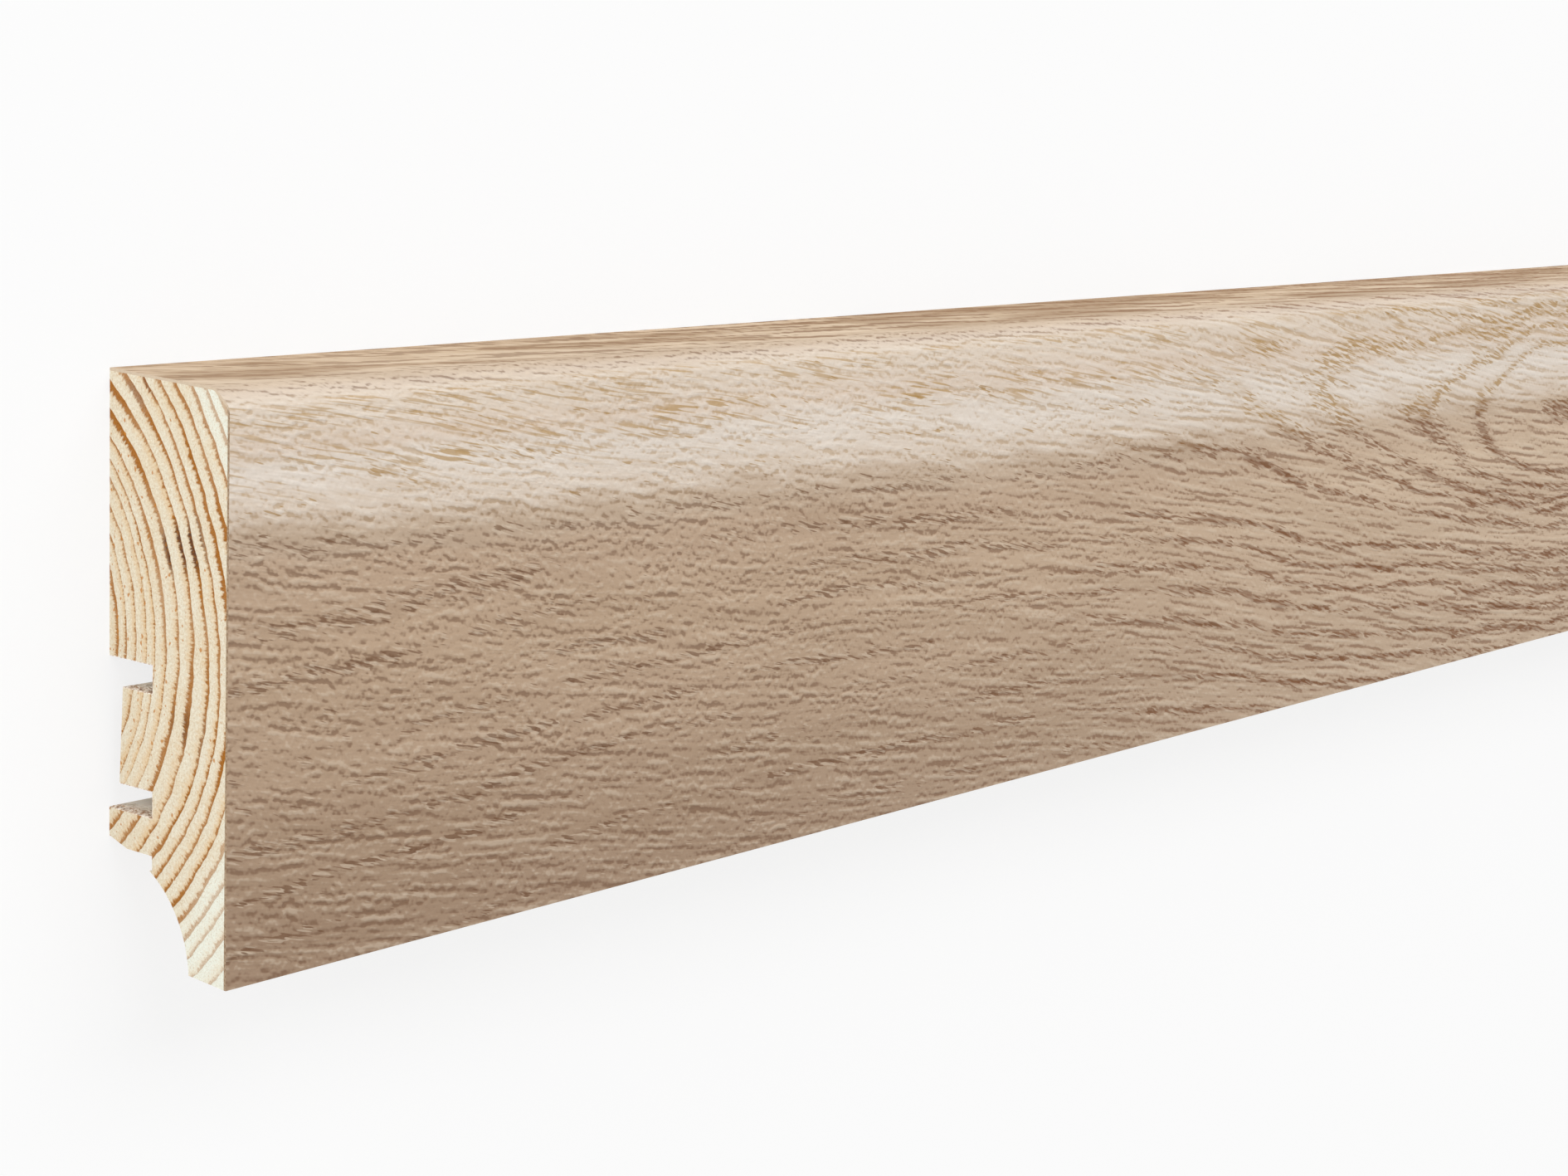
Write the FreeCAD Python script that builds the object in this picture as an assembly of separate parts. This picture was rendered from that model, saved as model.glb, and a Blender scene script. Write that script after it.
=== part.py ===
import FreeCAD, Part
import math
import os

# Skirting board length, sold by the piece and cut to fit.
# A softwood core is planed to its section, and its face and top are wrapped in thin oak veneer.
# Two grooves in the back take wall clips, and the cove under them clears cables and the floor's edge.
#
# The board lies on its back, as it rests unheld. X runs along the board, Y across its height,
# from the floor edge (-Y) to the top edge (+Y), and Z is its depth, from the wall face up to the oak face.
# The origin is the middle of the board's underside. All sizes are in millimetres.

# Overall sizes of the finished board
LENGTH = 2200.0
HEIGHT = 60.0
DEPTH = 18.0

# Oak veneer, measured square to the face it covers
VENEER = 0.3

# Top edge: it falls a little from the wall to the face
TOP_FALL = 0.45

# Upper front corner: a short chamfer with eased ends, measured back from the face and down from the top
CHAMFER_BACK = 2.2
CHAMFER_DOWN = 1.7
CHAMFER_TOP_ROUND = 1.2
CHAMFER_FACE_ROUND = 1.4

# Floor edge: the tongue that stands on the floor, undercut towards the wall
TONGUE = 5.6
UNDERCUT = 0.34

# Cove behind the tongue, cut as a round hollow, with a small lip where it meets the relief
COVE_RADIUS = 11.8
COVE_HEIGHT = 9.9
COVE_LIP = 0.4

# Heights on the back, each measured up from the one before
RELIEF = 1.6
LOWER_RIB = 3.9
LOWER_GROOVE = 2.7
MIDDLE_RIB = 10.0
UPPER_GROOVE = 2.9

# Depths on the back, measured in from the wall face
GROOVE_DEPTH = 6.7
MIDDLE_RIB_SETBACK_LOW = 1.6
MIDDLE_RIB_SETBACK_HIGH = 2.1
RIB_CHAMFER_DEPTH = 2.8
RIB_CHAMFER_RISE = 0.9


def section_point(depth, height):
    """A point of the section at the board's left end, from its depth and its height above the floor edge."""
    return FreeCAD.Vector(-LENGTH / 2, height - HEIGHT / 2, depth)


def straight_edges(corners):
    """Straight edges through (depth, height) corners, in order."""
    points = [section_point(*corner) for corner in corners]
    return [Part.makeLine(a, b) for a, b in zip(points, points[1:])]


def arc_edge(start, middle, end):
    """A round edge through three (depth, height) points."""
    return Part.Arc(*(section_point(*p) for p in (start, middle, end))).toShape()


def on_circle(centre, radius, angle):
    """The (depth, height) point at an angle on a circle, turning from the depth axis to the height axis."""
    return (centre[0] + radius * math.cos(angle), centre[1] + radius * math.sin(angle))


def eased_corner(corner, before, after, radius, inset):
    """The start, middle and end of the round that eases a corner between two sides.

    before and after are the angles that the two sides face, and inset is how far inside them the round lies.
    """
    middle = (before + after) / 2
    centre = on_circle(corner, -radius / math.cos(middle - before), middle)
    return [on_circle(centre, radius - inset, angle) for angle in (before, middle, after)]


def show_side(inset):
    """The veneered side from the floor edge, up the face, over the chamfer and back along the top.

    inset is how far the line lies inside the finished surface. Returns the edges and their two end corners.
    """
    fall_angle = math.atan2(TOP_FALL, DEPTH)
    undercut_angle = math.atan2(UNDERCUT, TONGUE)
    chamfer_foot = (DEPTH, HEIGHT - TOP_FALL - CHAMFER_DOWN)
    chamfer_head_depth = DEPTH - CHAMFER_BACK
    chamfer_head = (chamfer_head_depth, HEIGHT - chamfer_head_depth * math.tan(fall_angle))
    chamfer_facing = math.atan2(CHAMFER_BACK, chamfer_head[1] - chamfer_foot[1])
    top_facing = math.pi / 2 - fall_angle

    foot = (DEPTH - inset, inset * math.tan(undercut_angle))
    face_round = eased_corner(chamfer_foot, 0, chamfer_facing, CHAMFER_FACE_ROUND, inset)
    top_round = eased_corner(chamfer_head, chamfer_facing, top_facing, CHAMFER_TOP_ROUND, inset)
    back = (0, HEIGHT - inset / math.cos(fall_angle))

    edges = [
        *straight_edges([foot, face_round[0]]),
        arc_edge(*face_round),
        *straight_edges([face_round[-1], top_round[0]]),
        arc_edge(*top_round),
        *straight_edges([top_round[-1], back]),
    ]
    return edges, foot, back


def cove_edge(lip, tongue_back):
    """The round hollow from the lip down to the back of the tongue, its centre on the side of the wall and floor."""
    run = tongue_back[0] - lip[0]
    drop = lip[1] - tongue_back[1]
    chord = math.hypot(run, drop)
    chord_middle = ((lip[0] + tongue_back[0]) / 2, (lip[1] + tongue_back[1]) / 2)
    sagitta = COVE_RADIUS - math.sqrt(COVE_RADIUS**2 - (chord / 2) ** 2)
    middle = (
        chord_middle[0] + sagitta * drop / chord,
        chord_middle[1] + sagitta * run / chord,
    )
    return arc_edge(lip, middle, tongue_back)


def wall_side(back, foot):
    """The milled side from the top of the wall face down over the grooves, the ribs and the cove to the tongue."""
    rib_bottom = COVE_HEIGHT + RELIEF
    lower_groove_bottom = rib_bottom + LOWER_RIB
    lower_groove_top = lower_groove_bottom + LOWER_GROOVE
    upper_groove_bottom = lower_groove_top + MIDDLE_RIB
    upper_groove_top = upper_groove_bottom + UPPER_GROOVE

    wall_face = [back, (0, upper_groove_top)]
    upper_groove = [(GROOVE_DEPTH, upper_groove_top), (GROOVE_DEPTH, upper_groove_bottom)]
    middle_rib = [
        (MIDDLE_RIB_SETBACK_HIGH, upper_groove_bottom),
        (MIDDLE_RIB_SETBACK_LOW, lower_groove_top),
    ]
    lower_groove = [(GROOVE_DEPTH, lower_groove_top), (GROOVE_DEPTH, lower_groove_bottom)]
    lower_rib = [
        (0, lower_groove_bottom),
        (0, rib_bottom + RIB_CHAMFER_RISE),
        (RIB_CHAMFER_DEPTH, rib_bottom),
    ]
    lip = (GROOVE_DEPTH - COVE_LIP, COVE_HEIGHT)
    relief = [(GROOVE_DEPTH, rib_bottom), (GROOVE_DEPTH, COVE_HEIGHT), lip]
    tongue_back = (DEPTH - TONGUE, UNDERCUT)

    down_to_lip = wall_face + upper_groove + middle_rib + lower_groove + lower_rib + relief
    return [
        *straight_edges(down_to_lip),
        cove_edge(lip, tongue_back),
        *straight_edges([tongue_back, foot]),
    ]


def extruded(edges):
    """The solid that a closed section makes along the whole length."""
    wire = Part.Wire(Part.__sortEdges__(edges))
    return Part.Face(wire).extrude(FreeCAD.Vector(LENGTH, 0, 0))


def softwood_core():
    """The planed core, up to the glue line under the veneer."""
    glue_line, foot, back = show_side(VENEER)
    return extruded([*glue_line, *wall_side(back, foot)])


def oak_veneer():
    """The veneer, one sheet wrapped from the floor edge round to the top of the wall face."""
    outside, outer_foot, outer_back = show_side(0)
    glue_line, inner_foot, inner_back = show_side(VENEER)
    floor_edge = straight_edges([outer_foot, inner_foot])
    wall_edge = straight_edges([outer_back, inner_back])
    return extruded([*outside, *wall_edge, *glue_line, *floor_edge])


def main():
    os.makedirs("parts", exist_ok=True)
    pieces = {"softwood_core": softwood_core(), "oak_veneer": oak_veneer()}
    for name, solid in pieces.items():
        print(name, "valid", solid.isValid(), "volume", round(solid.Volume), "mm3")
        solid.exportStep(os.path.join("parts", name + ".step"))


main()
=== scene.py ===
import math
import random

import bmesh
import bpy
from mathutils import Matrix, Vector


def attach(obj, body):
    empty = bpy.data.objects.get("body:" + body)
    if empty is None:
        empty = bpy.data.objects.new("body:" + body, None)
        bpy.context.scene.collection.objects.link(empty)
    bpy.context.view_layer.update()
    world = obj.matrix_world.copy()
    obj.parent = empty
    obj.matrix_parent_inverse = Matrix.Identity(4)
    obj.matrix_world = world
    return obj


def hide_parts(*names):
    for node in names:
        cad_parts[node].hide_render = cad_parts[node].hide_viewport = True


# A skirting board length: softwood core, oak veneer on its face and top.
# It lies on its back. X runs along it, Y up its height, Z is its depth.
# Sizes are in millimetres where nothing else is said.

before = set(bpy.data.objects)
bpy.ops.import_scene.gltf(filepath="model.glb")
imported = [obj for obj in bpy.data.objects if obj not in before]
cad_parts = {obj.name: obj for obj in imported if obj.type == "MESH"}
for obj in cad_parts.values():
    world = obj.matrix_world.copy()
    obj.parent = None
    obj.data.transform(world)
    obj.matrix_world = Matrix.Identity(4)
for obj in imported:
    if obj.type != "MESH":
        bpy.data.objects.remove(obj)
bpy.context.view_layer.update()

MM = 0.001

# Section of the board, the same values as the solids have
LENGTH = 2200.0
HEIGHT = 60.0
DEPTH = 18.0
VENEER = 0.3
TOP_FALL = 0.45
CHAMFER_BACK = 2.2
CHAMFER_DOWN = 1.7
CHAMFER_TOP_ROUND = 1.2
CHAMFER_FACE_ROUND = 1.4
TONGUE = 5.6
UNDERCUT = 0.34
COVE_RADIUS = 11.8
COVE_HEIGHT = 9.9
COVE_LIP = 0.4
RELIEF = 1.6
LOWER_RIB = 3.9
LOWER_GROOVE = 2.7
MIDDLE_RIB = 10.0
UPPER_GROOVE = 2.9
GROOVE_DEPTH = 6.7
MIDDLE_RIB_SETBACK_LOW = 1.6
MIDDLE_RIB_SETBACK_HIGH = 2.1
RIB_CHAMFER_DEPTH = 2.8
RIB_CHAMFER_RISE = 0.9

# Heights on the back above the floor edge, from the sizes above
RIB_BOTTOM = COVE_HEIGHT + RELIEF
LOWER_GROOVE_BOTTOM = RIB_BOTTOM + LOWER_RIB
LOWER_GROOVE_TOP = LOWER_GROOVE_BOTTOM + LOWER_GROOVE
UPPER_GROOVE_BOTTOM = LOWER_GROOVE_TOP + MIDDLE_RIB
UPPER_GROOVE_TOP = UPPER_GROOVE_BOTTOM + UPPER_GROOVE

# How finely the round parts of the section are drawn, the spacing of the sections along the board,
# and the angle in degrees above which two sides meet in a hard edge
ROUND_STEPS = 10
COVE_STEPS = 28
STATION_SPACING = 20.0
HARD_EDGE = 20.0

# Torn fibres in the clip grooves: their lengths, half their widths, and how far from the sawn end they start
FIBRE_LENGTH = (0.4, 1.2)
FIBRE_HALF_WIDTH = (0.05, 0.12)
FIBRE_REACH = 2.0
LOWER_GROOVE_FIBRES = 110
UPPER_GROOVE_FIBRES = 80

# The oak sheet's width, from the floor edge up the face and over the corner to the wall
OAK_WIDTH = HEIGHT + DEPTH
# Its figure is drawn arch by arch up to here along the board, and wanders by itself past that
OAK_DRAWN = 400.0
# Its ring lines reach this far from the trunk's pith line
OAK_RINGS_SPAN = 62.0
# Where the ragged lower edge of the light streak, a painted highlight band, lies across the sheet, once it is
# drawn straight
STREAK_EDGE = 41.8

# The softwood log's pith at the left end, how far from it the first ring is, and how far the rings go on
PITH_DEPTH = -19.0
PITH_HEIGHT = 32.5
INNERMOST_RING = 8.0
RINGS_SPAN = 52.0

# How deep the fine relief goes
OAK_RELIEF = 0.11
OAK_EDGE_RELIEF = 0.05
SOFTWOOD_RELIEF = 0.10

# Floor, in metres from the middle to each side, and the strength of the even light from all round
FLOOR_REACH = 30.0
WORLD_STRENGTH = 0.56

# Soft lights: name, place, the point that it faces, width and height, all in metres, and power in watts
LIGHTS = (
    ("key", (-0.9, 1.6, 1.8), (-0.7, 0.0, 0.0), (2.6, 1.2), 31.0),
    ("end_fill", (-3.25, 1.4, 0.45), (-1.1, 0.0, 0.0), (1.2, 0.9), 26.0),
)

# The camera stands off the left end, above the face, and looks along the board. Its place and the
# nearest and farthest it sees are in metres.
CAMERA_PLACE = (-1.297646, 0.064902, 0.248242)
CAMERA_RIGHT = (0.63676574, 0.03788211, 0.77012618)
CAMERA_UP = (0.10954389, 0.98421673, -0.13898761)
CAMERA_LENS = 72.33
CAMERA_SENSOR = 36.0
CAMERA_NEAR = 0.01
CAMERA_FAR = 50.0


# Section lines


def on_circle(centre, radius, angle):
    return (centre[0] + radius * math.cos(angle), centre[1] + radius * math.sin(angle))


def eased_corner(corner, before, after, radius, inset):
    """(depth, height) points of the round that eases a corner between two sides.

    before and after are the angles that the two sides face, and inset is how far inside them the round lies.
    """
    middle = (before + after) / 2
    centre = on_circle(corner, -radius / math.cos(middle - before), middle)
    steps = [before + (after - before) * step / ROUND_STEPS for step in range(ROUND_STEPS + 1)]
    return [on_circle(centre, radius - inset, angle) for angle in steps]


def show_side(inset):
    """(depth, height) points up the face, over the chamfer and back along the top.

    inset is how far they lie inside the finished surface.
    """
    fall_angle = math.atan2(TOP_FALL, DEPTH)
    undercut_angle = math.atan2(UNDERCUT, TONGUE)
    chamfer_foot = (DEPTH, HEIGHT - TOP_FALL - CHAMFER_DOWN)
    chamfer_head_depth = DEPTH - CHAMFER_BACK
    chamfer_head = (chamfer_head_depth, HEIGHT - chamfer_head_depth * math.tan(fall_angle))
    chamfer_facing = math.atan2(CHAMFER_BACK, chamfer_head[1] - chamfer_foot[1])
    top_facing = math.pi / 2 - fall_angle
    return [
        (DEPTH - inset, inset * math.tan(undercut_angle)),
        *eased_corner(chamfer_foot, 0.0, chamfer_facing, CHAMFER_FACE_ROUND, inset),
        *eased_corner(chamfer_head, chamfer_facing, top_facing, CHAMFER_TOP_ROUND, inset),
        (0.0, HEIGHT - inset / math.cos(fall_angle)),
    ]


def cove():
    """(depth, height) points of the round hollow from its lip down to the back of the tongue."""
    lip = (GROOVE_DEPTH - COVE_LIP, COVE_HEIGHT)
    tongue_back = (DEPTH - TONGUE, UNDERCUT)
    run = tongue_back[0] - lip[0]
    drop = lip[1] - tongue_back[1]
    chord = math.hypot(run, drop)
    rise = math.sqrt(COVE_RADIUS**2 - (chord / 2) ** 2)
    centre = (
        (lip[0] + tongue_back[0]) / 2 - rise * drop / chord,
        (lip[1] + tongue_back[1]) / 2 - rise * run / chord,
    )
    start = math.atan2(lip[1] - centre[1], lip[0] - centre[0])
    end = math.atan2(tongue_back[1] - centre[1], tongue_back[0] - centre[0])
    steps = [start + (end - start) * step / COVE_STEPS for step in range(COVE_STEPS + 1)]
    return [on_circle(centre, COVE_RADIUS, angle) for angle in steps]


def wall_side():
    """(depth, height) points from the top of the wall face down over grooves, ribs and cove to the tongue."""
    return [
        (0.0, UPPER_GROOVE_TOP),
        (GROOVE_DEPTH, UPPER_GROOVE_TOP),
        (GROOVE_DEPTH, UPPER_GROOVE_BOTTOM),
        (MIDDLE_RIB_SETBACK_HIGH, UPPER_GROOVE_BOTTOM),
        (MIDDLE_RIB_SETBACK_LOW, LOWER_GROOVE_TOP),
        (GROOVE_DEPTH, LOWER_GROOVE_TOP),
        (GROOVE_DEPTH, LOWER_GROOVE_BOTTOM),
        (0.0, LOWER_GROOVE_BOTTOM),
        (0.0, RIB_BOTTOM + RIB_CHAMFER_RISE),
        (RIB_CHAMFER_DEPTH, RIB_BOTTOM),
        (GROOVE_DEPTH, RIB_BOTTOM),
        (GROOVE_DEPTH, COVE_HEIGHT),
        *cove(),
    ]


# Pieces


def place(along, depth, height):
    """A point of the board, from its distance from the middle of the length, its depth and its height."""
    return Vector((along * MM, (height - HEIGHT / 2) * MM, depth * MM))


def link(name, data):
    """A new object of the scene."""
    made = bpy.data.objects.new(name, data)
    bpy.context.scene.collection.objects.link(made)
    return made


def long_piece(name, section, end_material=0, edge_faces=()):
    """A closed section swept along the board. edge_faces are section sides that take the second material."""
    stations = round(LENGTH / STATION_SPACING)
    mesh = bpy.data.meshes.new(name)
    bm = bmesh.new()
    rings = []
    for station in range(stations + 1):
        along = -LENGTH / 2 + LENGTH * station / stations
        rings.append([bm.verts.new(place(along, depth, height)) for depth, height in section])
    count = len(section)
    for near, far in zip(rings, rings[1:]):
        for side in range(count):
            following = (side + 1) % count
            face = bm.faces.new((near[side], near[following], far[following], far[side]))
            face.smooth = True
            face.material_index = 1 if side in edge_faces else 0
    for ring in (rings[0], rings[-1]):
        face = bm.faces.new(ring)
        face.material_index = end_material
    bmesh.ops.recalc_face_normals(bm, faces=bm.faces)
    bm.to_mesh(mesh)
    bm.free()
    mesh.set_sharp_from_angle(angle=math.radians(HARD_EDGE))
    return link(name, mesh)


def torn_fibres(piece, groove_bottom, rib_depth, count, seed):
    """Tapered strands that the cutter tore up along a groove's lower side, next to the sawn end."""
    dice = random.Random(seed)
    bm = bmesh.new()
    bm.from_mesh(piece.data)
    for _ in range(count):
        depth = dice.uniform(rib_depth + 0.5, GROOVE_DEPTH - 0.3)
        tip_along = -LENGTH / 2 + 0.02 + dice.random() ** 2 * FIBRE_REACH
        length = dice.uniform(*FIBRE_LENGTH)
        half = dice.uniform(*FIBRE_HALF_WIDTH)
        tip = place(tip_along, depth + dice.uniform(-0.3, 0.3), groove_bottom + dice.uniform(0.05, 0.35))
        root = [(depth - half, -half), (depth + half, -half), (depth, half)]
        foot = [place(tip_along + length, across, groove_bottom + rise) for across, rise in root]
        corners = [bm.verts.new(point) for point in (*foot, tip)]
        for trio in ((0, 1, 2), (0, 1, 3), (1, 2, 3), (2, 0, 3)):
            bm.faces.new([corners[i] for i in trio])
    bmesh.ops.recalc_face_normals(bm, faces=bm.faces)
    bm.to_mesh(piece.data)
    bm.free()


# Materials


def colour(code):
    """Linear red, green, blue and opacity from a written colour such as D9CABC."""
    parts = [int(code[i : i + 2], 16) / 255 for i in (0, 2, 4)]
    linear = [c / 12.92 if c <= 0.04045 else ((c + 0.055) / 1.055) ** 2.4 for c in parts]
    return (*linear, 1.0)


class Paint:
    """One material, called p below. Its methods add nodes and return the socket with their result."""

    def __init__(self, name):
        self.material = bpy.data.materials.new(name)
        self.material.use_nodes = True
        self.tree = self.material.node_tree
        self.shader = self.tree.nodes["Principled BSDF"]

    def put(self, socket, value):
        if isinstance(value, bpy.types.NodeSocket):
            self.tree.links.new(value, socket)
        else:
            socket.default_value = value

    def node(self, kind, **settings):
        made = self.tree.nodes.new(kind)
        for key, value in settings.items():
            setattr(made, key, value)
        return made

    def math(self, operation, *values):
        made = self.node("ShaderNodeMath", operation=operation)
        for socket, value in zip(made.inputs, values):
            self.put(socket, value)
        return made.outputs[0]

    def add(self, *values):
        total = values[0]
        for value in values[1:]:
            total = self.math("ADD", total, value)
        return total

    def sub(self, a, b):
        return self.math("SUBTRACT", a, b)

    def mul(self, *values):
        total = values[0]
        for value in values[1:]:
            total = self.math("MULTIPLY", total, value)
        return total

    def larger(self, a, b):
        return self.math("MAXIMUM", a, b)

    def away(self, value, middle):
        """How far a value is from a middle one, to either side."""
        return self.math("ABSOLUTE", self.sub(value, middle))

    def smooth(self, value, low, high):
        """0 at low, 1 at high, with soft ends. low may be above high."""
        made = self.node("ShaderNodeMapRange", interpolation_type="SMOOTHSTEP")
        self.put(made.inputs["Value"], value)
        flip = low > high
        made.inputs["From Min"].default_value = min(low, high)
        made.inputs["From Max"].default_value = max(low, high)
        made.inputs["To Min"].default_value = 1.0 if flip else 0.0
        made.inputs["To Max"].default_value = 0.0 if flip else 1.0
        return made.outputs["Result"]

    def over(self, value, threshold, softness):
        """0 below a threshold that may itself vary, rising to 1 over softness."""
        scaled = self.math("DIVIDE", self.sub(value, threshold), softness)
        return self.smooth(scaled, 0.0, 1.0)

    def blend(self, amount, a, b):
        made = self.node("ShaderNodeMix", data_type="FLOAT")
        self.put(made.inputs[0], amount)
        self.put(made.inputs[2], a)
        self.put(made.inputs[3], b)
        return made.outputs[0]

    def tint(self, amount, a, b):
        """Colour a, turning to colour b as the amount rises from 0 to 1."""
        made = self.node("ShaderNodeMix", data_type="RGBA")
        self.put(made.inputs[0], amount)
        self.put(made.inputs[6], a)
        self.put(made.inputs[7], b)
        return made.outputs[2]

    def noise(self, x, y, z=0.0, detail=2.0, roughness=0.5):
        """Smooth noise about 0.5, one blotch to a unit."""
        where = self.node("ShaderNodeCombineXYZ")
        for socket, value in zip(where.inputs, (x, y, z)):
            self.put(socket, value)
        made = self.node("ShaderNodeTexNoise")
        self.put(made.inputs["Vector"], where.outputs[0])
        made.inputs["Scale"].default_value = 1.0
        made.inputs["Detail"].default_value = detail
        made.inputs["Roughness"].default_value = roughness
        return made.outputs[0]

    def sway(self, size, *where, detail=1.0):
        """Noise between about -size and size."""
        return self.mul(self.sub(self.noise(*where, detail=detail), 0.5), 4.0 * size)

    def curve(self, value, span, points):
        """A smooth curve through (value, result) points, for values from 0 to span."""
        top = max(result for _, result in points)
        made = self.node("ShaderNodeFloatCurve")
        line = made.mapping.curves[0]
        while len(line.points) < len(points):
            line.points.new(0.5, 0.5)
        for point, (at, result) in zip(line.points, points):
            point.location = (at / span, result / top)
            point.handle_type = "AUTO_CLAMPED"
        made.mapping.update()
        self.put(made.inputs["Value"], self.math("DIVIDE", value, span))
        return self.mul(made.outputs[0], top)

    def ramp(self, value, span, stops):
        """Colours at (value, code) stops, for values from 0 to span."""
        made = self.node("ShaderNodeValToRGB")
        made.color_ramp.interpolation = "EASE"
        marks = made.color_ramp.elements
        while len(marks) < len(stops):
            marks.new(0.5)
        # All the stops stand in their places before any takes its colour
        for mark, (at, _) in zip(marks, stops):
            mark.position = at / span
        for mark, (_, code) in zip(marks, stops):
            mark.color = colour(code)
        self.put(made.inputs[0], self.math("DIVIDE", value, span))
        return made.outputs[0]

    def board_place(self):
        """Distances in millimetres from the left end, from the floor edge and from the wall face."""
        where = self.node("ShaderNodeTexCoord").outputs["Object"]
        split = self.node("ShaderNodeSeparateXYZ")
        self.put(split.inputs[0], where)
        x, y, z = split.outputs
        along = self.math("MULTIPLY_ADD", x, 1 / MM, LENGTH / 2)
        height = self.math("MULTIPLY_ADD", y, 1 / MM, HEIGHT / 2)
        depth = self.mul(z, 1 / MM)
        return along, height, depth

    def relief(self, height, deep):
        """Surface relief from a height field between 0 and 1, so many millimetres deep."""
        made = self.node("ShaderNodeBump")
        made.inputs["Strength"].default_value = 1.0
        made.inputs["Distance"].default_value = deep * MM
        self.put(made.inputs["Height"], height)
        self.put(self.shader.inputs["Normal"], made.outputs[0])

    def finish(self, base, roughness, specular):
        self.put(self.shader.inputs["Base Color"], base)
        self.put(self.shader.inputs["Roughness"], roughness)
        self.put(self.shader.inputs["Specular IOR Level"], specular)
        return self.material


# Oak


def ring_distance(p, along, across):
    """Distance from the trunk's pith line to each place of the sheet, and how far above the arches it lies.

    The ring lines are the circles of the trunk, cut by a sheet whose distance from the pith line (reach)
    changes along the board, so they close in arches where it shrinks. The arches stand wider apart than
    circles would.
    """
    arches_drawn = p.curve(along, OAK_DRAWN, [
        (0, 50.4), (30, 53), (60, 55.6), (105, 57.3), (149, 56.3), (163, 54.5), (178, 52.8), (190, 51.2),
        (205, 48.5), (217, 45.9), (230, 43.9), (241, 42.2), (250, 40.9), (262, 39.2), (272, 39.6),
        (287, 38.6), (340, 40), (400, 44),
    ])
    reach_drawn = p.curve(along, OAK_DRAWN, [
        (0, 21.5), (60, 20.2), (105, 18.6), (149, 17.8), (178, 17.7), (190, 17.5), (205, 16.5), (217, 15.8),
        (230, 14.9), (241, 14.1), (250, 12.9), (258, 11.0), (263, 9.9), (270, 7.4), (277, 4.6), (284, 3.0),
        (310, 2.0), (340, 5), (400, 9),
    ])
    arches_rest = p.add(38.0, p.sway(14.0, p.mul(along, 1 / 260), 3.7))
    reach_rest = p.add(13.0, p.sway(9.0, p.mul(along, 1 / 190), 8.2))
    past = p.smooth(along, 310.0, OAK_DRAWN)
    arches = p.blend(past, arches_drawn, arches_rest)
    reach = p.blend(past, reach_drawn, reach_rest)
    spread = p.blend(p.mul(p.smooth(along, 236.0, 268.0), p.smooth(across, 22.0, 36.0)), 1.3, 1.0)
    # Under the arches the lines fall less steeply
    lift = p.mul(p.smooth(along, 195.0, 275.0), p.smooth(across, 33.0, 21.0), 7.0)
    off = p.math("DIVIDE", p.sub(p.sub(across, lift), arches), spread)
    distance = p.math("SQRT", p.add(p.mul(off, off), p.mul(reach, reach)))
    distance = p.add(
        distance,
        p.sway(0.5, p.mul(along, 1 / 26), p.mul(across, 1 / 9)),
        p.sway(0.25, p.mul(along, 1 / 6), p.mul(across, 1 / 1.6), 4.0),
    )
    return distance, off


def oak_rings(p, distance):
    """How many rings lie within a distance from the pith line. Their widths vary."""
    return p.curve(distance, OAK_RINGS_SPAN, [
        (0, 0), (3, 1), (11, 2), (14.2, 3), (16.4, 4), (17.9, 5), (20.4, 6), (24.4, 7), (26.6, 8), (28.8, 9),
        (31.0, 10), (33.4, 11), (36.0, 12), (38.8, 13), (42, 14), (45.5, 15), (49, 16), (52.5, 17),
        (OAK_RINGS_SPAN, 19.7),
    ])


def oak_figure(p, along, across):
    """Flat-sawn oak. Returns how porous each place is (0 to 1) and the ring lines."""
    distance, off = ring_distance(p, along, across)
    rings = oak_rings(p, distance)
    density = p.sub(oak_rings(p, p.add(distance, 0.5)), oak_rings(p, p.sub(distance, 0.5)))
    from_line = p.math("DIVIDE", p.math("PINGPONG", rings, 0.5), density)
    # The arches' upper branches are narrower, but for the last arch, which is broad all round
    last = p.smooth(along, 236.0, 258.0)
    narrow = p.mul(p.smooth(off, 2.0, 8.0), p.sub(1.0, last), 0.9)
    from_line = p.mul(from_line, p.add(1.0, narrow, p.mul(last, -0.45)))
    porous = p.smooth(from_line, 0.72, 0.08)
    # Some rings are strong and some faint, and each fades in and out along the board
    fade = p.noise(p.mul(along, 1 / 40), p.mul(p.math("ROUND", rings), 2.7), 6.0, detail=1.0)
    arched = p.mul(p.smooth(along, 130.0, 215.0), p.smooth(along, 420.0, 330.0))
    faded = p.add(0.25, p.mul(p.smooth(fade, 0.38, 0.60), 0.70))
    porous = p.mul(porous, p.blend(arched, faded, 1.0))
    line = p.mul(p.smooth(from_line, 0.32, 0.06), p.smooth(along, 130.0, 190.0), p.smooth(fade, 0.32, 0.50))
    return porous, line


def oak_grain(p, along, across):
    """The fibres' cross coordinate: it stays the same along a fibre, which leans and waves a little."""
    slow_lean = p.mul(p.math("SINE", p.mul(p.sub(along, 150.0), 2 * math.pi / LENGTH)), 54.0)
    quick_lean = p.math("SINE", p.mul(along, 2 * math.pi / 210))
    waves = p.sway(0.4, p.mul(along, 1 / 30), p.mul(across, 1 / 8), 9.0)
    return p.add(across, slow_lean, quick_lean, waves)


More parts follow.
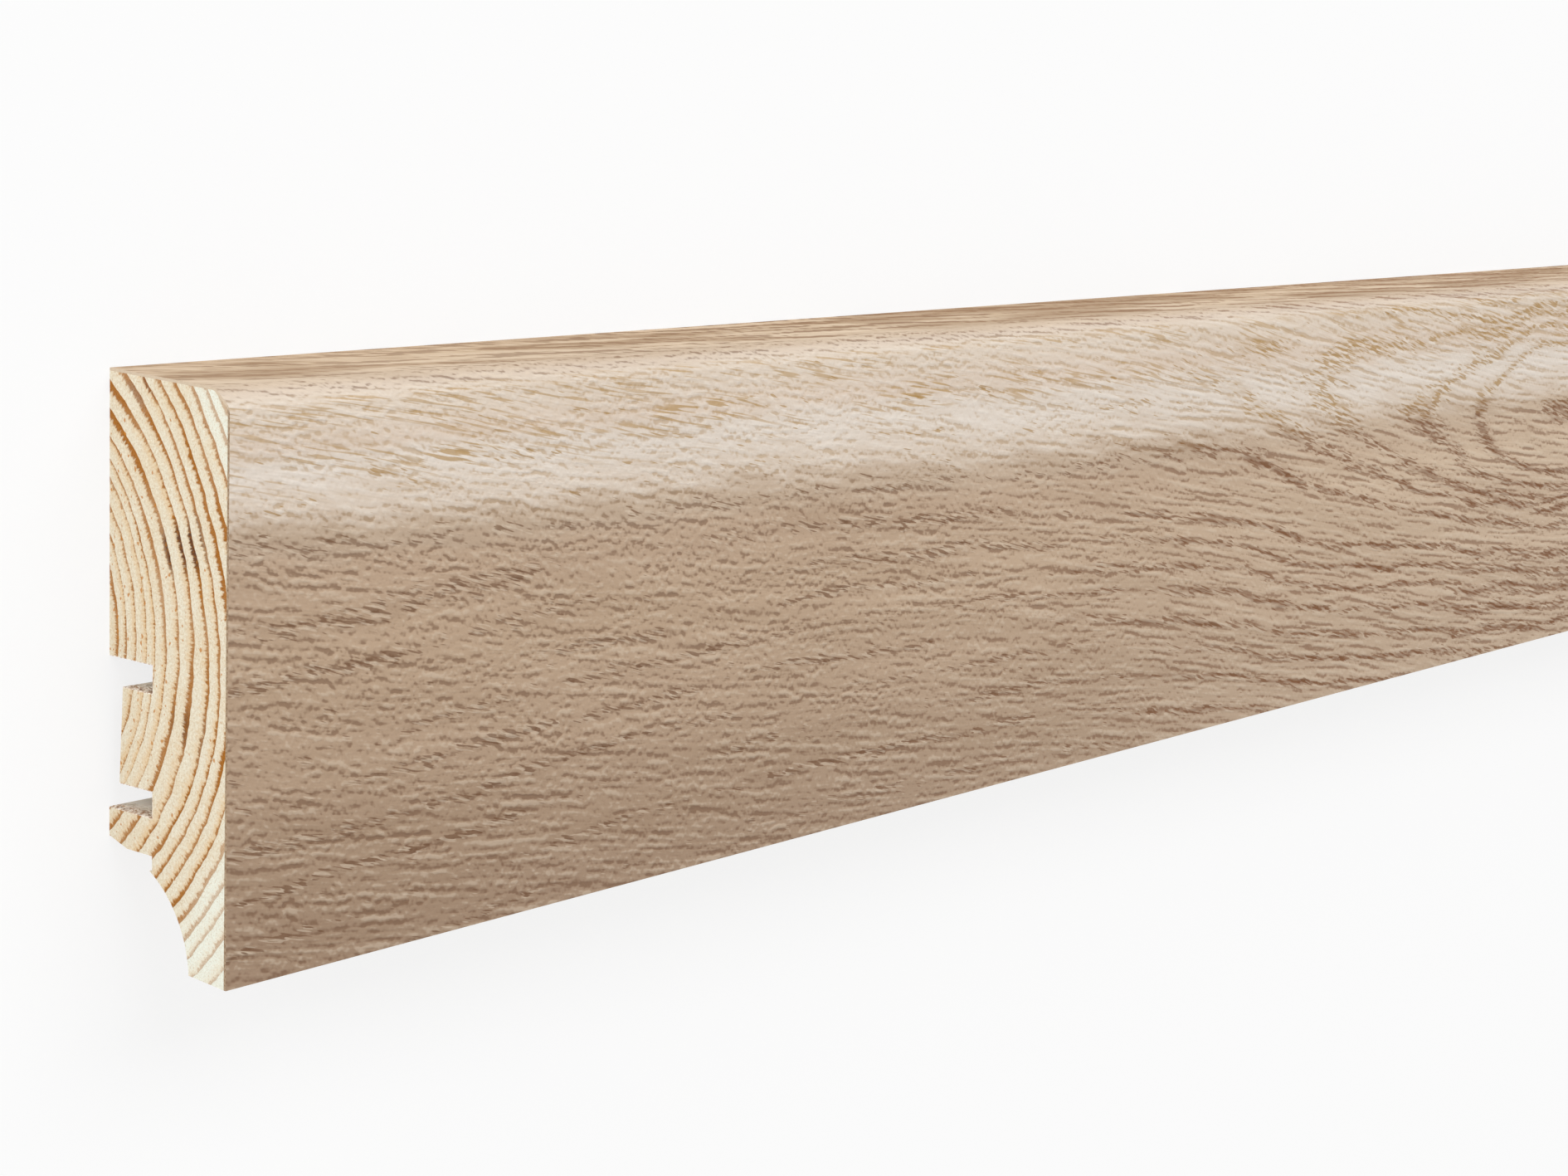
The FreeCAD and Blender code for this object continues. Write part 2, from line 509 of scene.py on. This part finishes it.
def streak_place(p, along, across, grain):
    """Distance across the board, shifted so that the ragged lower edge of the light streak, a painted
    highlight, is at STREAK_EDGE.
    """
    edge_drawn = p.curve(along, OAK_DRAWN, [
        (0, 44.8), (30, 43.7), (60, 42.8), (95, 42.2), (135, 41.1), (175, 41.1), (210, 40.0), (245, 40.0),
        (285, 39.8), (400, 41),
    ])
    edge_rest = p.add(42.0, p.sway(2.5, p.mul(along, 1 / 330), 5.5))
    edge = p.blend(p.smooth(along, 300.0, OAK_DRAWN), edge_drawn, edge_rest)
    return p.add(
        across,
        p.sub(STREAK_EDGE, edge),
        p.sway(0.5, p.mul(along, 1 / 60), p.mul(across, 1 / 30), 2.0),
        p.sway(1.1, p.mul(along, 1 / 8), p.mul(grain, 1 / 1.4), 2.0),
    )


def oak_tone(p, along, across, grain, streak, golden_sheen):
    """The oak's ground colour, without its fibre and pores. Over the streak it is a painted highlight: a pale
    band of sheen.
    """
    band = p.blend(p.smooth(across, 49.0, 55.0), streak, across)
    # From the streak's lower edge up to the chamfer these stops paint a highlight, a pale band of sheen over
    # the oak's tone
    tone = p.ramp(band, OAK_WIDTH, [
        (0, "A58A72"), (10, "AB9077"), (20, "B89D83"), (30, "BEA388"), (38, "BDA288"),
        (STREAK_EDGE, "C6AF97"), (45, "DDCDBC"), (48.5, "E5D9CC"), (50.5, "E2D5C7"), (53, "DFCDBB"),
        (57, "E2D2C0"), (58.5, "D3C4B3"), (60, "D1C0AE"), (61.5, "C9B6A1"), (63, "CBB7A0"),
        (66, "CFBAA1"), (72, "C8B196"), (78, "C5AD92"),
    ])
    # The face is lighter to the right, and among the arches
    lighter = p.mul(p.smooth(along, 30.0, 320.0), p.smooth(streak, 44.0, 34.0), 0.7)
    near_arches = p.mul(p.smooth(along, 175.0, 215.0), p.smooth(across, 27.0, 33.0))
    among_arches = p.mul(near_arches, p.smooth(streak, 46.0, 41.0), 0.25)
    tone = p.tint(p.add(lighter, among_arches), tone, colour("D6BEA3"))
    # Darker clouds in the tone, kept faint in the streak of painted highlight
    cloud = p.noise(p.mul(along, 1 / 40), p.mul(grain, 1 / 5), 1.0, detail=3.0)
    clouded = p.mul(p.smooth(cloud, 0.40, 0.65), p.blend(golden_sheen, 0.14, 0.05))
    return p.tint(clouded, tone, colour("8F7355"))


def porous_rows(p, along, across, grain, streak, golden_sheen, porous):
    """How porous each place is, with the light streak's own threads and rows of pores. The streak's paleness
    is a painted highlight.
    """
    # Left of the arches the painted highlight streak has only scattered threads, and a ragged row along its
    # lower edge
    plain_streak = p.mul(golden_sheen, p.smooth(along, 200.0, 150.0))
    clusters = p.noise(p.mul(along, 1 / 15), p.mul(grain, 1 / 2), 2.0, detail=2.0)
    porous = p.blend(plain_streak, porous, p.mul(p.smooth(clusters, 0.50, 0.68), 0.75))
    ragged = p.smooth(p.away(streak, 41.0), 1.3, 0.2)
    porous = p.larger(porous, p.mul(ragged, p.smooth(along, 220.0, 180.0), 0.65))
    thinned = p.mul(p.smooth(across, 54.0, 56.0), p.smooth(along, 235.0, 205.0), 0.9)
    porous = p.mul(porous, p.sub(1.0, thinned))
    # Another row runs along the chamfer, here and there
    row = p.smooth(p.away(across, 60.2), 1.1, 0.2)
    here = p.smooth(p.noise(p.mul(along, 1 / 13), 4.0, detail=1.0), 0.42, 0.58)
    return p.larger(porous, p.mul(row, here, p.blend(p.smooth(along, 80.0, 130.0), 0.1, 0.5)))


def strokes(p, along, grain, long, wide, apart, seed):
    """Strokes along the grain, each dark one (above 0) with a pale one (below 0) beside it, a painted
    highlight along its edge.

    long and wide are how many there are to a millimetre along and across, and apart is how far a pale one
    lies from its dark one.
    """
    first = p.noise(p.mul(along, long), p.mul(grain, wide), seed, detail=1.0, roughness=0.6)
    beside = p.noise(p.mul(along, long), p.mul(p.add(grain, apart), wide), seed, detail=1.0, roughness=0.6)
    return p.sub(first, beside)


def face_strokes(p, along, across, grain, rightward):
    """The face's fine fibre. Long strokes rule to the right and near the floor, short ones to the left."""
    straight = p.larger(rightward, p.mul(p.smooth(across, 20.0, 8.0), 0.4))
    long_strokes = p.mul(strokes(p, along, grain, 0.09, 1.27, 0.58, 0.0), p.blend(straight, 0.58, 1.10))
    short_strokes = p.mul(strokes(p, along, grain, 0.42, 1.6, 0.50, 5.0), p.blend(straight, 0.65, 0.45))
    crumbs = p.mul(strokes(p, along, grain, 1.1, 1.45, 0.55, 9.0), p.blend(straight, 0.70, 0.42))
    # It is livelier in some places
    lively = p.noise(p.mul(along, 1 / 12), p.mul(grain, 1 / 3), 4.0, detail=2.0)
    lively = p.add(0.75, p.mul(p.smooth(lively, 0.36, 0.64), 0.50))
    return p.mul(p.add(long_strokes, short_strokes, crumbs), lively)


def top_strokes(p, along, grain):
    """The top edge's fibre, in broad strokes."""
    broad = strokes(p, along, grain, 0.05, 0.34, 1.7, 11.0)
    narrow = strokes(p, along, grain, 0.12, 0.60, 1.0, 12.0)
    return p.mul(p.add(broad, p.mul(narrow, 0.8)), 1.7)


def slant_strokes(p, along, across):
    """Faint strokes that cross the top edge slantwise, from the face to the wall."""
    turned = p.sub(1.1, p.mul(p.smooth(along, 10.0, 150.0), 1.6))
    slant = p.add(along, p.mul(p.sub(across, 66.0), turned))

    def side(apart):
        return p.noise(p.mul(p.add(slant, apart), 0.55), p.mul(across, 0.30), 16.0, roughness=0.65)

    crossing = p.mul(p.sub(side(0.0), side(1.0)), p.smooth(across, 61.0, 65.0))
    return p.mul(crossing, p.blend(p.smooth(along, 60.0, 140.0), 1.4, 0.5))


def top_blotches(p, along, grain):
    """Brown blotches of the top edge, more of them from about 120 to 180 millimetres in."""
    blotches = p.noise(p.mul(along, 1 / 28), p.mul(grain, 1 / 5), 8.0, detail=1.0)
    browner = p.mul(p.smooth(along, 105.0, 135.0), p.smooth(along, 205.0, 165.0), 0.06)
    blotches = p.add(blotches, p.mul(p.smooth(along, 60.0, 150.0), 0.03), browner)
    return p.smooth(blotches, 0.46, 0.62)


def golden_threads(p, along, across, grain, golden_sheen):
    """Golden threads in the upper part of the streak."""
    tilted = p.add(grain, p.mul(along, 0.04))
    threads = p.noise(p.mul(along, 0.15), p.mul(tilted, 2.6), 14.0, detail=1.0, roughness=0.6)
    gathered = p.noise(p.mul(along, 1 / 14), p.mul(grain, 1 / 3), 15.0, detail=1.0)
    gathered = p.mul(p.smooth(gathered, 0.40, 0.60), p.smooth(across, 46.0, 52.0))
    # They crowd in three places, given by their middles and half their sizes
    crowds = ((31, 51, 8, 1.7), (70, 53, 13, 1.8), (112, 52.5, 10, 2.6))
    for at_along, at_across, half_long, half_wide in crowds:
        far_along = p.mul(p.sub(along, at_along), 1 / half_long)
        far_across = p.mul(p.sub(across, at_across), 1 / half_wide)
        apart = p.add(p.mul(far_along, far_along), p.mul(far_across, far_across))
        gathered = p.larger(gathered, p.mul(p.smooth(apart, 1.0, 0.3), 1.25))
    # A row of them runs under the chamfer near the left end
    row = p.mul(p.smooth(along, 80.0, 50.0), p.smooth(p.away(across, 56.3), 1.8, 0.6))
    return p.mul(p.smooth(threads, 0.53, 0.60), golden_sheen, p.larger(gathered, row))


def oak_pores(p, along, grain, porous):
    """Pores, short dashes that cross each ring line at a slant, and the glints of painted highlight along one
    side of them.
    """
    steep = p.add(grain, p.mul(along, 0.10))
    threshold = p.blend(porous, 0.74, 0.50)

    def dashes(shift):
        found = p.noise(p.mul(along, 0.34), p.mul(p.add(steep, shift), 2.5), 3.0, detail=1.0, roughness=0.6)
        return p.over(found, threshold, 0.06)

    pores = dashes(0.0)
    glints = p.mul(dashes(0.42), p.sub(1.0, pores))
    return pores, glints


def oak_face():
    """Sliced oak with open pores and a matt lacquer, and a light streak along the face that is a painted
    highlight.
    """
    p = Paint("oak_face")
    along, height, depth = p.board_place()
    across = p.add(height, p.sub(DEPTH, depth))
    porous, line = oak_figure(p, along, across)
    grain = oak_grain(p, along, across)
    streak = streak_place(p, along, across, grain)

    # The streak of painted highlight, where the threads and pores of the grain also show golden
    golden_sheen = p.mul(p.smooth(streak, 40.5, 46.0), p.smooth(across, 60.0, 57.5))
    on_top = p.smooth(across, 59.5, 62.0)
    past_corner = p.smooth(across, 60.0, 66.5)
    rightward = p.smooth(along, 60.0, 220.0)
    dark = p.tint(golden_sheen, p.tint(rightward, colour("6B4526"), colour("744210")), colour("A87F3A"))
    # Colour of the painted highlights: the pale strokes and glints beside the dark marks, whiter in the
    # streak
    pale = p.tint(golden_sheen, colour("DFCDB6"), colour("F5EEE4"))
    tone = oak_tone(p, along, across, grain, streak, golden_sheen)
    porous = porous_rows(p, along, across, grain, streak, golden_sheen, porous)

    # Fibre, on the face and over the top
    fine_strokes = face_strokes(p, along, across, grain, rightward)
    bands = p.mul(p.sub(p.noise(p.mul(along, 0.03), p.mul(grain, 0.55), 7.0, detail=1.0), 0.5), 0.42)
    face_fibre = p.add(fine_strokes, bands, p.mul(porous, 0.03))
    fibre = p.blend(past_corner, face_fibre, top_strokes(p, along, grain))
    fibre = p.add(fibre, slant_strokes(p, along, across))
    top_contrast = p.blend(p.smooth(along, 20.0, 100.0), 0.75, 1.0)
    # Strokes are fainter in the streak, washed out by its painted highlight
    contrast = p.blend(past_corner, p.sub(1.0, p.mul(golden_sheen, 0.30)), top_contrast)
    base = p.tint(p.mul(p.smooth(fibre, 0.02, 0.30), contrast, 0.58), tone, dark)
    # The pale strokes beside the dark ones paint the light on their edges
    base = p.tint(p.mul(p.smooth(fibre, -0.04, -0.32), contrast, 0.35), base, pale)
    base = p.tint(p.mul(top_blotches(p, along, grain), past_corner, 0.50), base, colour("8E6D4D"))
    base = p.tint(p.mul(golden_threads(p, along, across, grain, golden_sheen), 0.55), base, colour("B0873F"))

    # Pores, fainter on the top edge and hardly seen at the corner, with glints of painted highlight beside
    # them
    pores, glints = oak_pores(p, along, grain, porous)
    base = p.tint(p.mul(porous, 0.12), base, dark)
    base = p.tint(p.mul(glints, 0.36), base, pale)
    at_corner = p.mul(p.smooth(across, 58.0, 59.5), p.smooth(across, 65.0, 62.0), 0.7)
    shown = p.mul(p.sub(1.0, p.mul(on_top, 0.5)), p.sub(1.0, at_corner))
    base = p.tint(p.mul(pores, p.blend(rightward, 0.66, 0.62), shown), base, dark)

    # Ring lines, broken here and there, and only on the face
    broken = p.smooth(p.noise(p.mul(along, 0.12), p.mul(grain, 0.7), 21.0), 0.40, 0.56)
    lined = p.mul(line, broken, p.sub(1.0, p.mul(golden_sheen, 0.5)), p.sub(1.0, on_top), 0.55)
    base = p.tint(lined, base, dark)

    # The strokes alone are hollowed out, since the painted glints already draw the light on the pores' relief
    p.relief(p.add(p.mul(fine_strokes, -0.9), 1.0), OAK_RELIEF)
    # The lacquer is rubbed duller on the top edge
    rough = p.add(p.blend(on_top, 0.46, 0.75), p.mul(pores, 0.18))
    return p.finish(base, rough, p.blend(on_top, 0.40, 0.06))


def oak_edge():
    """The cut edge of the veneer sheet: dark beside the face, pale at the corner and along the top."""
    p = Paint("oak_edge")
    along, height, depth = p.board_place()
    speckle = p.noise(p.mul(along, 2.0), p.mul(height, 3.0), p.mul(depth, 3.0), detail=3.0, roughness=0.6)
    base = p.tint(p.smooth(speckle, 0.35, 0.7), colour("B39C82"), colour("86694B"))
    base = p.tint(p.mul(p.smooth(height, 57.2, 58.2), 0.8), base, colour("DCC9B0"))
    p.relief(speckle, OAK_EDGE_RELIEF)
    return p.finish(base, 0.7, 0.3)


# Softwood


def growth_rings(p, along, height, depth):
    """The rings of one log whose pith lies behind the wall face.

    Returns the distance and the angle from the pith, and the number of the ring.
    """
    # The pith wanders a little along the log
    pith_depth = p.add(PITH_DEPTH, p.mul(p.smooth(along, 0.0, LENGTH), -3.0))
    pith_height = p.add(PITH_HEIGHT, p.sway(2.5, p.mul(along, 1 / 700), 1.3))
    from_depth = p.sub(depth, pith_depth)
    from_height = p.sub(height, pith_height)
    radius = p.math("SQRT", p.add(p.mul(from_depth, from_depth), p.mul(from_height, from_height)))
    turn = p.math("ARCTAN2", from_height, from_depth)

    # The rings bulge in lobes, waver and ripple, and wander along the log away from the left end
    lobes = p.math("COSINE", p.mul(p.add(turn, math.radians(14)), 5.0))
    lobes = p.mul(lobes, p.smooth(radius, 31.5, 34.5), 0.42)
    waver = p.sway(0.14, p.mul(height, 0.3), p.mul(depth, 0.3), p.mul(along, 0.01))
    ripple = p.sway(0.05, p.mul(turn, 30.0, 1.6), p.mul(radius, 0.3), p.mul(along, 0.02))
    wander = p.sway(0.5, p.mul(along, 1 / 110), p.mul(height, 0.02), 6.0, detail=2.0)
    wander = p.mul(wander, p.smooth(along, 0.0, 80.0))
    ring_radius = p.add(p.sub(radius, lobes), waver, ripple, wander)
    rings = p.curve(p.sub(ring_radius, INNERMOST_RING), RINGS_SPAN, [
        (0, 0), (2.5, 1), (5, 2), (7.2, 3), (9.2, 4), (11.0, 5), (12.6, 6), (13.9, 7), (15.5, 8), (17.1, 9),
        (18.3, 10), (20.0, 11), (22.1, 12), (24.3, 13), (26.3, 14), (28.0, 15), (29.8, 16), (31.6, 17),
        (33.4, 18), (35.1, 19), (36.6, 20), (38.5, 21), (40.6, 22), (43, 23), (52, 27),
    ])
    return radius, turn, p.add(rings, 0.12)


def stain(p, radius, turn, facing, half_width, inner, outer):
    """1 in a stretch of the rings about one angle from the pith, 0 outside it.

    facing is that angle in degrees, and half_width is half the stretch in radians.
    """
    off = p.away(turn, math.radians(facing))
    outside_inner = p.smooth(radius, inner - 0.7, inner + 0.7)
    inside_outer = p.smooth(radius, outer + 0.7, outer - 0.7)
    return p.mul(p.smooth(off, half_width, half_width * 0.25), outside_inner, inside_outer)


def late_wood(p, along, radius, turn, rings, stained, sapwood):
    """Late wood: the brown line, how strong it is, and the wider halo of gold colour on its pith side.

    It darkens slowly outwards, feathered on the pith side, and stops short on the outer side.
    """
    phase = p.math("FRACT", rings)
    count = p.math("FLOOR", rings)
    inner = p.smooth(radius, 31.0, 27.0)
    feather = p.sway(0.17, p.mul(turn, 30.0, 3.6), p.mul(radius, 0.8), p.mul(along, 0.02), detail=3.0)
    feathered = p.add(phase, feather)
    stops = p.smooth(phase, 1.0, 0.95)
    starts = p.noise(p.mul(count, 3.7), p.mul(turn, 1.6), p.mul(along, 0.002), detail=1.0)
    begin = p.blend(p.smooth(starts, 0.30, 0.70), 0.78, 0.52)
    begin = p.add(begin, p.mul(inner, 0.08), p.mul(stained, -0.16))
    late = p.mul(p.over(feathered, begin, 0.20), stops)
    halo = p.mul(p.smooth(feathered, 0.30, 0.90), stops)
    strength = p.noise(p.mul(count, 5.3), p.mul(turn, 3.0), p.mul(along, 0.002))
    weight = p.add(0.72, p.mul(p.smooth(strength, 0.3, 0.65), 0.28), p.mul(inner, -0.12))
    weight = p.larger(p.mul(weight, p.blend(sapwood, 1.0, 0.50)), stained)
    return late, weight, halo


def early_wood(p, along, height, depth, sapwood):
    """Early wood: its cream colour, and the fibre and the finer grit that mottle it."""
    cream = p.tint(sapwood, colour("E7DFCA"), colour("ECEFE2"))
    flesh = p.noise(p.mul(height, 0.25), p.mul(depth, 0.25), p.mul(along, 0.006), detail=3.0)
    cream = p.tint(p.mul(p.smooth(flesh, 0.35, 0.7), p.blend(sapwood, 0.30, 0.12)), cream, colour("DEC8A2"))
    fibre = p.noise(p.mul(height, 3.4), p.mul(depth, 3.4), p.mul(along, 0.07), detail=3.0, roughness=0.65)
    cream = p.tint(p.mul(p.smooth(fibre, 0.45, 0.75), p.blend(sapwood, 0.45, 0.25)), cream, colour("C4A06E"))
    cream = p.tint(p.mul(p.smooth(fibre, 0.50, 0.25), 0.65), cream, colour("F8F1E0"))
    grit = p.noise(p.mul(height, 6.5), p.mul(depth, 6.5), p.mul(along, 0.10), detail=1.0)
    cream = p.tint(p.mul(p.smooth(grit, 0.54, 0.72), 0.42), cream, colour("C19D6E"))
    return cream, fibre, grit


def groove_nap(p, height, depth):
    """1 on the walls of the two clip grooves, which keep a fuzz of torn fibres."""
    walls = []
    for bottom, width in ((LOWER_GROOVE_BOTTOM, LOWER_GROOVE), (UPPER_GROOVE_BOTTOM, UPPER_GROOVE)):
        walls.append(p.smooth(p.away(height, bottom + width / 2), width / 2 + 0.12, width / 2 + 0.02))
    return p.mul(p.larger(*walls), p.smooth(depth, GROOVE_DEPTH + 0.1, GROOVE_DEPTH))


def softwood():
    """Spruce, bare and freshly sawn."""
    p = Paint("softwood")
    along, height, depth = p.board_place()
    radius, turn, rings = growth_rings(p, along, height, depth)
    # The sapwood next to the face is paler, and so is its late wood
    sapwood = p.smooth(radius, 39.0, 42.5)

    # Stretches of the late wood are stained: two purple-brown, and a reddish one near the top
    purple = p.larger(
        stain(p, radius, turn, 19, 0.12, 29.0, 35.3),
        p.mul(stain(p, radius, turn, -14, 0.10, 29.5, 34.5), 0.6),
    )
    reddish = p.mul(stain(p, radius, turn, 47, 0.08, 33.4, 36.8), 0.8)
    stained = p.add(purple, reddish)
    late, weight, halo = late_wood(p, along, radius, turn, rings, stained, sapwood)
    cream, fibre, grit = early_wood(p, along, height, depth, sapwood)

    brown = p.tint(p.mul(purple, p.smooth(fibre, 0.72, 0.45)), colour("A26000"), colour("4E2410"))
    brown = p.tint(p.mul(reddish, 0.85), brown, colour("74390F"))
    base = p.tint(p.mul(halo, weight, 0.45), cream, colour("DA9D28"))
    base = p.tint(p.mul(late, weight, 0.94), base, brown)
    base = p.tint(p.mul(late, weight, p.smooth(grit, 0.50, 0.66), 0.45), base, colour("6E3508"))

    # Orange resin specks, mostly in the inner rings
    specks = p.noise(p.mul(height, 1.5), p.mul(depth, 1.9), p.mul(along, 0.03), detail=0.0)
    bar = p.blend(p.smooth(radius, 32.0, 29.0), 0.79, 0.73)
    resin = p.mul(p.over(specks, bar, 0.05), p.sub(1.0, sapwood))
    base = p.tint(p.mul(resin, 0.8), base, colour("C07C2A"))

    # The groove walls are painted near white, painted light that stands in for the light that hardly gets
    # into the grooves; the torn nap has brown ends near the sawn end
    nap_and_painted_light = groove_nap(p, height, depth)
    base = p.tint(p.mul(nap_and_painted_light, 0.85), base, colour("FBF4E9"))
    torn = p.noise(p.mul(depth, 3.0), p.mul(along, 1.6), height, roughness=0.6)
    torn = p.mul(p.smooth(torn, 0.46, 0.58), p.smooth(along, 2.2, 0.4), nap_and_painted_light)
    base = p.tint(p.mul(torn, 0.75), base, colour("A5713A"))

    # The sawn ends are rougher than the planed sides
    from_end = p.math("MINIMUM", along, p.sub(LENGTH, along))
    sawn = p.blend(p.smooth(from_end, 0.06, 0.02), 0.45, 1.0)
    rise = p.mul(p.add(p.mul(late, weight, 0.5), p.mul(fibre, 0.5)), sawn)
    p.relief(rise, SOFTWOOD_RELIEF)
    return p.finish(base, p.add(0.74, p.mul(fibre, 0.1)), 0.12)


# Board

core = long_piece("core_board", wall_side() + show_side(VENEER))
torn_fibres(core, LOWER_GROOVE_BOTTOM, 0.0, LOWER_GROOVE_FIBRES, seed=3)
torn_fibres(core, UPPER_GROOVE_BOTTOM, MIDDLE_RIB_SETBACK_HIGH, UPPER_GROOVE_FIBRES, seed=4)
core.data.materials.append(softwood())

outside = show_side(0.0)
sheet = outside + show_side(VENEER)[::-1]
wall_edge = len(outside) - 1
floor_edge = len(sheet) - 1
veneer = long_piece("veneer_sheet", sheet, end_material=1, edge_faces=(wall_edge, floor_edge))
veneer.data.materials.append(oak_face())
veneer.data.materials.append(oak_edge())

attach(core, "root")
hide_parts("softwood_core")
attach(veneer, "root")
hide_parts("oak_veneer")


# Floor, light and camera


def pale_floor():
    """A pale matt floor. It shows near white, but lights the board no more than a pale floor does."""
    p = Paint("pale_floor")
    p.finish(colour("F4F4F4"), 0.9, 0.1)
    glow = p.node("ShaderNodeEmission")
    glow.inputs["Strength"].default_value = 1.0
    path = p.node("ShaderNodeLightPath")
    seen = p.larger(path.outputs["Is Camera Ray"], path.outputs["Is Glossy Ray"])
    seen = p.larger(seen, path.outputs["Is Transmission Ray"])
    mix = p.node("ShaderNodeMixShader")
    p.put(mix.inputs[0], p.mul(seen, 0.8))
    p.put(mix.inputs[1], p.shader.outputs[0])
    p.put(mix.inputs[2], glow.outputs[0])
    p.put(p.tree.nodes["Material Output"].inputs["Surface"], mix.outputs[0])
    return p.material


def softbox(name, where, aim, size, power):
    lamp = bpy.data.lights.new(name, "AREA")
    lamp.shape = "RECTANGLE"
    lamp.size, lamp.size_y = size
    lamp.energy = power
    holder = link(name, lamp)
    holder.location = where
    holder.rotation_mode = "QUATERNION"
    holder.rotation_quaternion = (Vector(aim) - Vector(where)).to_track_quat("-Z", "Y")


floor_corners = [
    (x * FLOOR_REACH, y * FLOOR_REACH, 0.0) for x, y in ((-1, -1), (1, -1), (1, 1), (-1, 1))
]
floor_mesh = bpy.data.meshes.new("floor")
floor_mesh.from_pydata(floor_corners, [], [(0, 1, 2, 3)])
floor = link("floor", floor_mesh)
floor.data.materials.append(pale_floor())

world = bpy.data.worlds.new("studio")
bpy.context.scene.world = world
world.use_nodes = True
sky = world.node_tree.nodes["Background"]
sky.inputs["Color"].default_value = (1, 1, 1, 1)
sky.inputs["Strength"].default_value = WORLD_STRENGTH

for light in LIGHTS:
    softbox(*light)

camera_data = bpy.data.cameras.new("camera")
camera_data.sensor_fit = "HORIZONTAL"
camera_data.sensor_width = CAMERA_SENSOR
camera_data.lens = CAMERA_LENS
camera_data.clip_start = CAMERA_NEAR
camera_data.clip_end = CAMERA_FAR
camera = link("camera", camera_data)
right = Vector(CAMERA_RIGHT)
up = Vector(CAMERA_UP)
axes = Matrix((right, up, right.cross(up))).transposed()
camera.matrix_world = Matrix.Translation(CAMERA_PLACE) @ axes.to_4x4()
bpy.context.scene.camera = camera
bpy.context.scene.view_settings.view_transform = "Standard"
